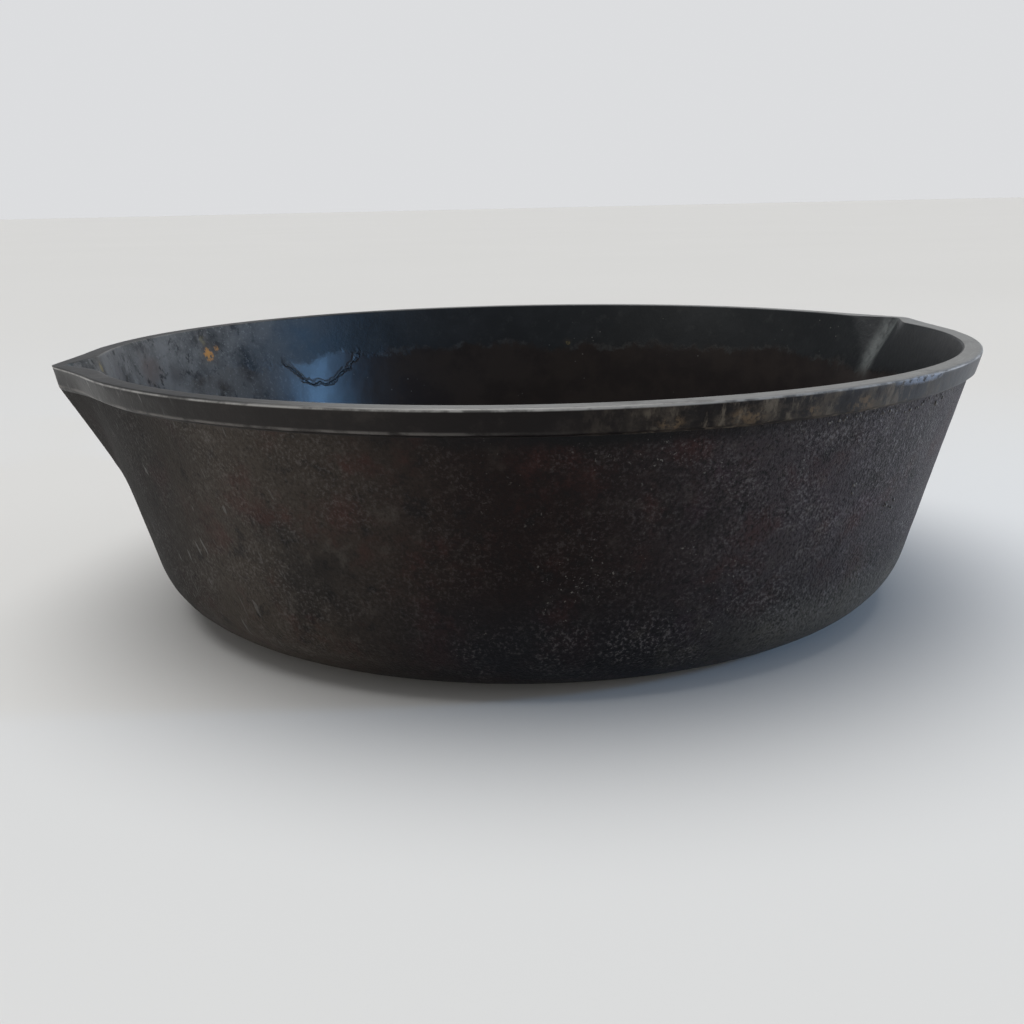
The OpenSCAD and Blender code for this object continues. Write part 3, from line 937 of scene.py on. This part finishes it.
def section(y):
    """Rounded section at distance y: x and z of its points, z measured from the handle's top."""
    half_w, half_t = handle_w(y) / 2, handle_t(y) / 2
    out = []
    for k in range(SECTION_POINTS):
        a = 2 * math.pi * k / SECTION_POINTS
        c, s = math.cos(a), math.sin(a)
        # A superellipse is flat on its faces and full at its corners
        x = half_w * math.copysign(abs(c) ** 0.5, c)
        z = half_t * math.copysign(abs(s) ** 0.5, s)
        crown = CROWN * (1 - (x / max(half_w, mm)) ** 2) if s > 0 else 0
        out.append((x, z - half_t + crown - CROWN / 2))
    return out


def on_handle(x, y, z):
    """Point of the falling handle: y along it from the rim, z up from its top."""
    return (x, RIM_R + y * math.cos(FALL) + z * math.sin(FALL),
            HANDLE_TOP + z * math.cos(FALL) - y * math.sin(FALL))


def outer_wall_y(x, z):
    """Where the pan's outside lies at this x and height, on the handle's side."""
    r = wall_r(RIM_R if z > BAND_Z else WALL_TOP_R, z)
    return math.sqrt(r * r - x * x)


def loft(rings, name):
    """Closed mesh through rings of points."""
    n = len(rings[0])
    verts = [v for ring in rings for v in ring]
    quads = [(i * n + k, i * n + (k + 1) % n, (i + 1) * n + (k + 1) % n, (i + 1) * n + k)
             for i in range(len(rings) - 1) for k in range(n)]
    caps = [tuple(range(n)), tuple(len(verts) - n + k for k in reversed(range(n)))]
    mesh = bpy.data.meshes.new(name)
    mesh.from_pydata(verts, [], quads + caps)
    work = bmesh.new()
    work.from_mesh(mesh)
    bmesh.ops.recalc_face_normals(work, faces=work.faces)
    work.to_mesh(mesh)
    work.free()
    return mesh


def handle_rings():
    rings = []
    # The back of the root lies inside the wall's thickness and is dished to the wall's own curve
    for share in (0.02, 0.25, 0.5, 0.75):
        ring = []
        for x, z in section(0.0):
            px = x * (1 + FILLET / (ROOT_W / 2)) * share
            height = HANDLE_TOP - ROOT_T / 2 + (z + ROOT_T / 2) * share
            ring.append((px, outer_wall_y(px, height) - ROOT_SINK, height))
        rings.append(ring)
    # Then the root leaves the wall along a fillet
    for distance in [-ROOT_SINK] + [FILLET * ease(k / 8) for k in range(9)]:
        near = max(distance, 0.0)
        flare = FILLET - math.sqrt(FILLET**2 - (FILLET - near) ** 2)
        ring = []
        for x, z in section(near):
            down = max(0.0, min(1.0, -z / (4 * mm)))
            px = x * (1 + flare / (ROOT_W / 2))
            height = HANDLE_TOP + z - flare * down
            ring.append((px, outer_wall_y(px, height) + distance, height))
        rings.append(ring)
    stations = list(np.linspace(FILLET + 3 * mm, ROOT_LEN, 12)) + spread(ROOT_LEN, EYE_Y, 40)
    stations += [EYE_Y + (EYE_W / 2 - 0.4 * mm) * math.sin(math.pi / 2 * k / 16) for k in range(1, 17)]
    return rings + [[on_handle(x, y, z) for x, z in section(y)] for y in stations]


# %% Cutters for the hanging hole and the thumb recess
def prism(outline, top, depth, taper, name):
    """Upright cutter in the handle's frame. Its walls lean by taper over its depth."""
    outline = np.array(outline)
    centre = outline.mean(axis=0)
    rings = [[on_handle(x, y, z) for x, y in centre + (outline - centre) * grow]
             for z, grow in ((top, 1.0), (top - depth, 1.0 - taper))]
    return loft(rings, name)


def pill(r_far, y_far, r_near, y_near, n=24):
    """Outline round two circles on the handle's centre line."""
    tilt = math.asin((r_far - r_near) / (y_far - y_near))
    far = np.linspace(-tilt, math.pi + tilt, n)
    near = np.linspace(math.pi + tilt, 2 * math.pi - tilt, n)
    return [(r_far * math.cos(a), y_far + r_far * math.sin(a)) for a in far] + [
        (r_near * math.cos(a), y_near + r_near * math.sin(a)) for a in near]


hole = prism(pill(HANG_R, EYE_Y, HANG_TIP_R, EYE_Y - HANG_SPAN), 4 * mm, 20 * mm, 0.0, "hole_cutter")
RECESS_R = 6 * mm
recess = prism(pill(RECESS_R, NECK_Y - 2 * RECESS_R, RECESS_R * 0.999, ROOT_LEN + 2 * RECESS_R),
               -SHANK_T + 3 * mm, 8 * mm, -0.12, "recess_cutter")


def carve(mesh, cutters):
    """The mesh with the cutters taken away, remeshed in small voxels and smoothed."""
    body = added("handle_pattern", mesh)
    helpers = [added(cutter.name, cutter) for cutter in cutters]
    for helper in helpers:
        cut = body.modifiers.new(helper.name, "BOOLEAN")
        cut.operation = "DIFFERENCE"
        cut.object = helper
        cut.solver = "EXACT"
    remesh = body.modifiers.new("voxels", "REMESH")
    remesh.mode = "VOXEL"
    remesh.voxel_size = 0.7 * mm
    smooth = body.modifiers.new("soft_edges", "SMOOTH")
    smooth.factor = 0.5
    smooth.iterations = 6
    graph = bpy.context.evaluated_depsgraph_get()
    made = bpy.data.meshes.new_from_object(body.evaluated_get(graph))
    for leftover in [body, *helpers]:
        bpy.data.objects.remove(leftover)
    return made


handle_mesh = carve(loft(handle_rings(), "handle_blank"), [hole, recess])
print("handle:", len(handle_mesh.vertices), "points")

# %% Measure where the handle wears
WEAR_PASSES = 4
FULL_WEAR = 0.035 * mm


def edge_wear(mesh):
    """How far each point stands out from its neighbours, smoothed, from 0 to 1."""
    corners = vectors(mesh.vertices, "co")
    normals = vectors(mesh.vertex_normals, "vector")
    ends = np.empty(len(mesh.edges) * 2, int)
    mesh.edges.foreach_get("vertices", ends)
    a, b = ends[0::2], ends[1::2]
    count = np.bincount(ends, minlength=len(corners))[:, None]

    def average(values):
        total = np.zeros_like(values)
        np.add.at(total, a, values[b])
        np.add.at(total, b, values[a])
        return total / count

    proud = np.sum((corners - average(corners)) * normals, axis=1, keepdims=True)
    for _ in range(WEAR_PASSES):
        proud = average(proud)
    return np.clip(proud[:, 0] / FULL_WEAR, 0, 1)


wear = handle_mesh.attributes.new("wear", "FLOAT", "POINT")
worn_share = edge_wear(handle_mesh)
wear.data.foreach_set("value", worn_share)
print(f"{100 * np.mean(worn_share > 0.5):.0f}% of the handle's points are well worn")

# %% [markdown]
# The handle is then cut square across at the two places where its named parts meet.

# %% Part the handle
for polygon in handle_mesh.polygons:
    polygon.use_smooth = True
handle_points = KDTree(len(handle_mesh.vertices))
for k, vertex in enumerate(handle_mesh.vertices):
    handle_points.insert(vertex.co, k)
handle_points.balance()


def uncut_normal(point):
    """Normal of the uncut handle at a point, from the three nearest of its points."""
    found = handle_points.find_n(point, 3)
    total = sum((handle_mesh.vertex_normals[k].vector / (d + 1e-6) for _, k, d in found), Vector())
    return total.normalized()


def between(low, high, name):
    """Closed piece of the handle between two distances from the rim. Light runs on over its cuts."""
    work = bmesh.new()
    work.from_mesh(handle_mesh)
    along = Vector((0, math.cos(FALL), -math.sin(FALL)))
    start = Vector((0, RIM_R, HANDLE_TOP))
    for distance, far_end in ((low, False), (high, True)):
        if distance is None:
            continue
        cut = bmesh.ops.bisect_plane(
            work, geom=work.verts[:] + work.edges[:] + work.faces[:], plane_co=start + along * distance,
            plane_no=along, clear_outer=far_end, clear_inner=not far_end)
        edges = [e for e in cut["geom_cut"] if isinstance(e, bmesh.types.BMEdge)]
        for face in bmesh.ops.holes_fill(work, edges=edges)["faces"]:
            face.smooth = False
            for edge in face.edges:
                edge.smooth = False
    bmesh.ops.triangulate(work, faces=[f for f in work.faces if len(f.verts) > 4])
    piece = bpy.data.meshes.new(name)
    work.to_mesh(piece)
    work.free()
    piece.normals_split_custom_set([
        uncut_normal(piece.vertices[v].co) if polygon.use_smooth else polygon.normal
        for polygon in piece.polygons for v in polygon.vertices])
    return piece


for part_name, low, high in (("handle_root", None, ROOT_LEN), ("handle_shank", ROOT_LEN, NECK_Y),
                             ("hanging_eye", NECK_Y, None)):
    place(between(low, high, part_name), part_name, [GRIP])

# %% [markdown]
# ## Casting grit
# Where sand broke out of the mould, the iron filled the holes, and the casting has small pimples.
# Nobody grinds them off under the band. They come in clusters, so the tree scatters a few dozen
# squashed grains over four narrow beds on the wall with a fixed seed, lays each one flat on the
# wall, and makes them real. The beds themselves aren't kept.

# %% Scatter the grit with Geometry Nodes
def bare_grit():
    p = Paint("bare_grit")
    speckle = p.noise(0.5 * mm, 2.0, seed=3.0)
    colour = p.layer((0.055, 0.050, 0.046), (0.150, 0.142, 0.132), p.step(speckle, 0.4, 0.62))
    return p.finish(colour, 0.6, specular=0.2)


grit_sizes = {
    "Density": 260000.0,
    "Smallest": 0.22 * mm,
    "Largest": 0.52 * mm,
    "Flatness": 0.6,
    "Seed": 7,
    "Iron": bare_grit(),
}
GRAIN_SEGMENTS, GRAIN_RINGS = 8, 5


def grit_tree():
    w, size = new_tree("scatter_casting_grit", grit_sizes)
    bed = {"Mesh": size["Geometry"], "Density": size["Density"], "Seed": size["Seed"]}
    scatter = w.node("GeometryNodeDistributePointsOnFaces", bed).outputs
    ball = {"Segments": GRAIN_SEGMENTS, "Rings": GRAIN_RINGS, "Radius": 1.0}
    grain = w.node("GeometryNodeMeshUVSphere", ball).outputs["Mesh"]
    pick = w.node("FunctionNodeRandomValue")
    for label, source in (("Min", "Smallest"), ("Max", "Largest"), ("Seed", "Seed")):
        w.plug(next(i for i in pick.inputs if i.name == label and i.enabled), size[source])
    width = next(o for o in pick.outputs if o.enabled)
    squashed = w.join(width, width, w.mul(width, size["Flatness"]))
    lay = {"Points": scatter["Points"], "Rotation": scatter["Rotation"], "Instance": grain, "Scale": squashed}
    return end_tree(w, w.node("GeometryNodeInstanceOnPoints", lay).outputs[0], size["Iron"])


def wall_bed(first, last, drop_a, drop_b, columns=24, rows=4):
    """A narrow patch of the outside wall between two angles and two depths below the rim."""
    corners = [on_wall(WALL_TOP_R + 0.04 * mm, first + (last - first) * i / columns,
                       drop_b + (drop_a - drop_b) * j / rows)
               for j in range(rows + 1) for i in range(columns + 1)]
    across = columns + 1
    quads = [(j * across + i, j * across + i + 1, (j + 1) * across + i + 1, (j + 1) * across + i)
             for j in range(rows) for i in range(columns)]
    return corners, quads


# Each bed: two angles, and two depths below the rim in millimetres
GRIT_BEDS = ((293, 306, 7.2, 9.6), (281, 293, 7.4, 8.4), (288, 291, 25, 28), (297, 300, 33, 37))
bed_points, bed_quads = [], []
for span in GRIT_BEDS:
    corners, quads = wall_bed(*span)
    bed_quads += [tuple(k + len(bed_points) for k in quad) for quad in quads]
    bed_points += corners
grit_bed = bpy.data.meshes.new("grit_bed")
grit_bed.from_pydata(bed_points, [], bed_quads)
grit = baked(grit_bed, grit_tree(), grit_sizes, "casting_grit")
grit.materials.clear()
grit.materials.append(grit_sizes["Iron"])
for polygon in grit.polygons:
    polygon.use_smooth = True
    polygon.material_index = 0
bpy.data.meshes.remove(grit_bed)
grit_piece = added("casting_grit", grit)
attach(grit_piece, "root")
print("casting grit:", len(grit.polygons) // (GRAIN_SEGMENTS * GRAIN_RINGS), "grains")

# %% [markdown]
# ## Stage, light and camera
# The floor is pale and the light soft. Two low wide lights stand left and right of the pan, and a
# wide sun stands in for a bright ceiling. A small cool light gives the soft blue glint inside the
# far wall. Its place, in front and to the right, is found by mirroring the line of sight in that
# wall. The camera stands a few centimetres above the rim and looks slightly down.

# %% Floor
def pale_floor():
    p = Paint("pale_floor")
    cloud = p.noise(300 * mm, 3.0, seed=1.0)
    colour = p.layer((0.66, 0.65, 0.63), (0.69, 0.68, 0.66), cloud)
    return p.finish(colour, 0.8, specular=0.1)


FLOOR_SPAN = 60.0
FLOOR_GAP = 0.2 * mm
floor_mesh = bpy.data.meshes.new("floor")
floor_corners = [(FLOOR_SPAN * x, FLOOR_SPAN * y, 0) for x, y in ((-1, -1), (1, -1), (1, 1), (-1, 1))]
floor_mesh.from_pydata(floor_corners, [], [(0, 1, 2, 3)])
floor_mesh.materials.append(pale_floor())
floor = added("floor", floor_mesh)
floor.location.z = -FLOOR_GAP

# %% Camera
FOCAL_LENGTH, FILM_WIDTH = 42.19, 36.0
EYE_DISTANCE, EYE_ABOVE_RIM = 376.7 * mm, 40.2 * mm
PITCH, YAW, ROLL = 0.2495, -0.0149, 0.0213


def camera_axes(turn):
    """Right, up and forward of a camera that is pitched, turned and rolled a little."""
    right = Vector((math.cos(YAW), -math.sin(YAW), 0))
    ahead = Vector((math.sin(YAW), math.cos(YAW), 0))
    forward = ahead * math.cos(PITCH) - Vector((0, 0, math.sin(PITCH)))
    up = ahead * math.sin(PITCH) + Vector((0, 0, math.cos(PITCH)))
    rolled_right = right * math.cos(ROLL) - up * math.sin(ROLL)
    rolled_up = right * math.sin(ROLL) + up * math.cos(ROLL)
    return turn @ rolled_right, turn @ rolled_up, turn @ forward


turn_to_front = Matrix.Rotation(FRONT_TURN, 3, "Z")
camera_data = bpy.data.cameras.new("camera")
camera_data.lens = FOCAL_LENGTH
camera_data.sensor_width = FILM_WIDTH
camera_data.clip_start = 10 * mm
camera = added("camera", camera_data)
bpy.context.scene.camera = camera
cam_right, cam_up, cam_forward = camera_axes(turn_to_front)
eye = turn_to_front @ Vector((0, -EYE_DISTANCE, PAN_H + EYE_ABOVE_RIM))
pose = Matrix((cam_right, cam_up, -cam_forward)).transposed().to_4x4()
pose.translation = eye
camera.matrix_world = pose
print("camera at", tuple(round(v, 4) for v in eye))


# %% Lights
def soft_light(name, target, direction, distance, size, watts, colour, spread_angle):
    """Area light that looks at target from the given direction."""
    data = bpy.data.lights.new(name, "AREA")
    data.shape = "RECTANGLE"
    data.size, data.size_y = size
    data.energy = watts
    data.color = colour
    data.spread = math.radians(spread_angle)
    light = added(name, data)
    direction = Vector(direction).normalized()
    light.location = Vector(target) + direction * distance
    light.rotation_euler = (-direction).to_track_quat("-Z", "Y").to_euler()
    light.visible_camera = False


def mirrored_sight(degrees_round, drop):
    """Point on the inside wall, and the direction that the camera sees mirrored there."""
    spot = Vector(on_wall(BORE_TOP_R, degrees_round, drop))
    a = math.radians(degrees_round)
    normal = Vector((-math.cos(a) * math.cos(LEAN), -math.sin(a) * math.cos(LEAN), math.sin(LEAN)))
    sight = (eye - spot).normalized()
    return spot, (2 * normal.dot(sight) * normal - sight).normalized()


glint_spot, glint_way = mirrored_sight(113.5, 33)
print("glint comes from", tuple(round(v, 3) for v in glint_way))
soft_light("window_glint", glint_spot, glint_way, 1.4, (0.10, 0.17), 0.25, (0.24, 0.54, 1.0), 40)
centre = (0, 0, PAN_H / 2)
soft_light("left_wall", centre, (-1.0, -0.25, 0.06), 1.6, (1.0, 0.22), 1.15, (1.0, 0.96, 0.90), 70)
soft_light("right_window", centre, (1.0, -0.12, 0.045), 1.5, (1.1, 0.18), 1.35, (0.82, 0.89, 1.0), 70)
# The ceiling is a wide soft sun, so the floor is equally pale out to the horizon
ceiling = bpy.data.lights.new("ceiling", "SUN")
ceiling.energy = 2.5
ceiling.angle = math.radians(65)
ceiling.color = (0.98, 0.99, 1.0)
added("ceiling", ceiling).rotation_euler = (math.radians(-8), math.radians(-5), 0)

# %% World
world = bpy.data.worlds.new("studio")
bpy.context.scene.world = world
world.use_nodes = True
backdrop = world.node_tree.nodes["Background"]
backdrop.inputs["Color"].default_value = (0.97, 0.98, 1.0, 1.0)
sky = Wires(world.node_tree)
upward = sky.split(sky.node("ShaderNodeTexCoord").outputs["Generated"])[2]
# Pale near the horizon, like the floor, and dim overhead
brightness = {"Value": upward, "From Min": 0.155, "From Max": 0.26, "To Min": 0.74, "To Max": 0.24}
fade = sky.node("ShaderNodeMapRange", brightness, interpolation_type="SMOOTHSTEP")
sky.plug(backdrop.inputs["Strength"], fade.outputs["Result"])
bpy.context.scene.view_settings.view_transform = "Standard"
